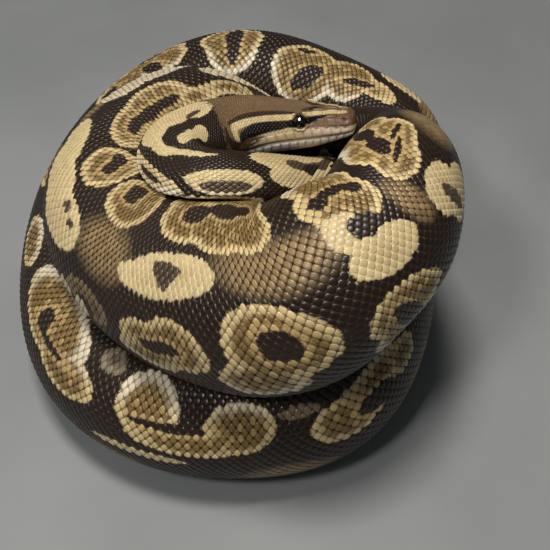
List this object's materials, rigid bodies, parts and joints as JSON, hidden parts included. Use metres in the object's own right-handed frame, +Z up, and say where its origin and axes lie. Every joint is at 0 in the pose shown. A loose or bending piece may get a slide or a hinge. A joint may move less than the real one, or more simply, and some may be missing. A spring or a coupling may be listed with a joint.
{
  "type": "coiled ball python",
  "caption": "Life-size ball python at rest on the floor, coiled in a pile with its head on top and its neck folded back under the jaw.",
  "frame": {"origin": "on the floor, under the middle of the pile's box", "axes": "+Z up; +X the way the head points; -Y the front of the pile, where the lower neck runs under the jaw"},
  "size_m": [0.1717, 0.2004, 0.1207],
  "materials": {
    "head_skin": "small smooth scales, brown crown with a tan stripe through the eye line",
    "jaw_skin": "smooth cream and pinkish lip scales",
    "body_skin": "satin scales, near black with tan ringed blotches",
    "eye": "wet, glossy black"
  },
  "bodies": {
    "root": {"head": "head_skin", "lower_jaw": "jaw_skin", "eye_left": "eye", "eye_right": "eye", "neck": "body_skin", "trunk_back": "body_skin", "trunk_lower_left": "body_skin", "trunk_lower_front": "body_skin", "trunk_rise": "body_skin", "trunk_upper_left": "body_skin", "trunk_upper_front": "body_skin", "trunk_upper_right": "body_skin", "tail": "body_skin"}
  },
  "joints": []
}
